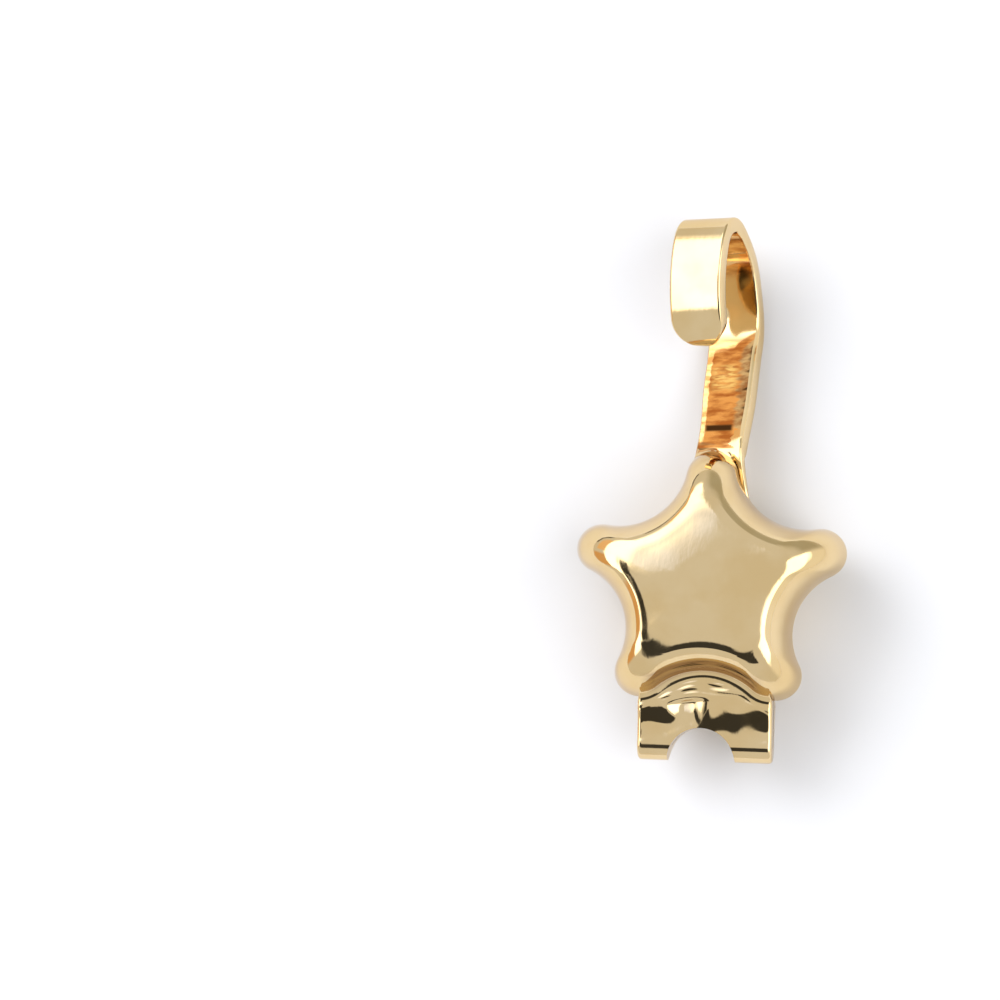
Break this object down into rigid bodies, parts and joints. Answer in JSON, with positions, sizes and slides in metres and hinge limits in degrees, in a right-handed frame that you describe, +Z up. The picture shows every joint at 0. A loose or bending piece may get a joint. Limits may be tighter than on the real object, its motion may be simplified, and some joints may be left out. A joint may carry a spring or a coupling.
{
  "type": "knot cover",
  "caption": "Star-shaped clamshell knot cover: two hollow star shells joined by folded tabs with a cord hole, and a strip that curls over into an open hook.",
  "frame": {"origin": "centre of the back star's flat top, which the part lies on", "axes": "+Y from the fold through the star's middle to the hook, +Z up from the back star to the front star, +X across the part's width"},
  "size_m": [0.006, 0.0121, 0.0029],
  "materials": {
    "gold_plating": "mirror-polished pale gold plating on stamped brass sheet"
  },
  "bodies": {
    "back": {"back_half": "gold_plating"},
    "front": {"front_half": "gold_plating"}
  },
  "joints": [
    {"name": "fold", "type": "hinge", "parent": "back", "child": "front", "pos_m": [0, -0.00354, 0.00147], "axis": [1, 0, 0], "range_deg": [0, 110]}
  ]
}
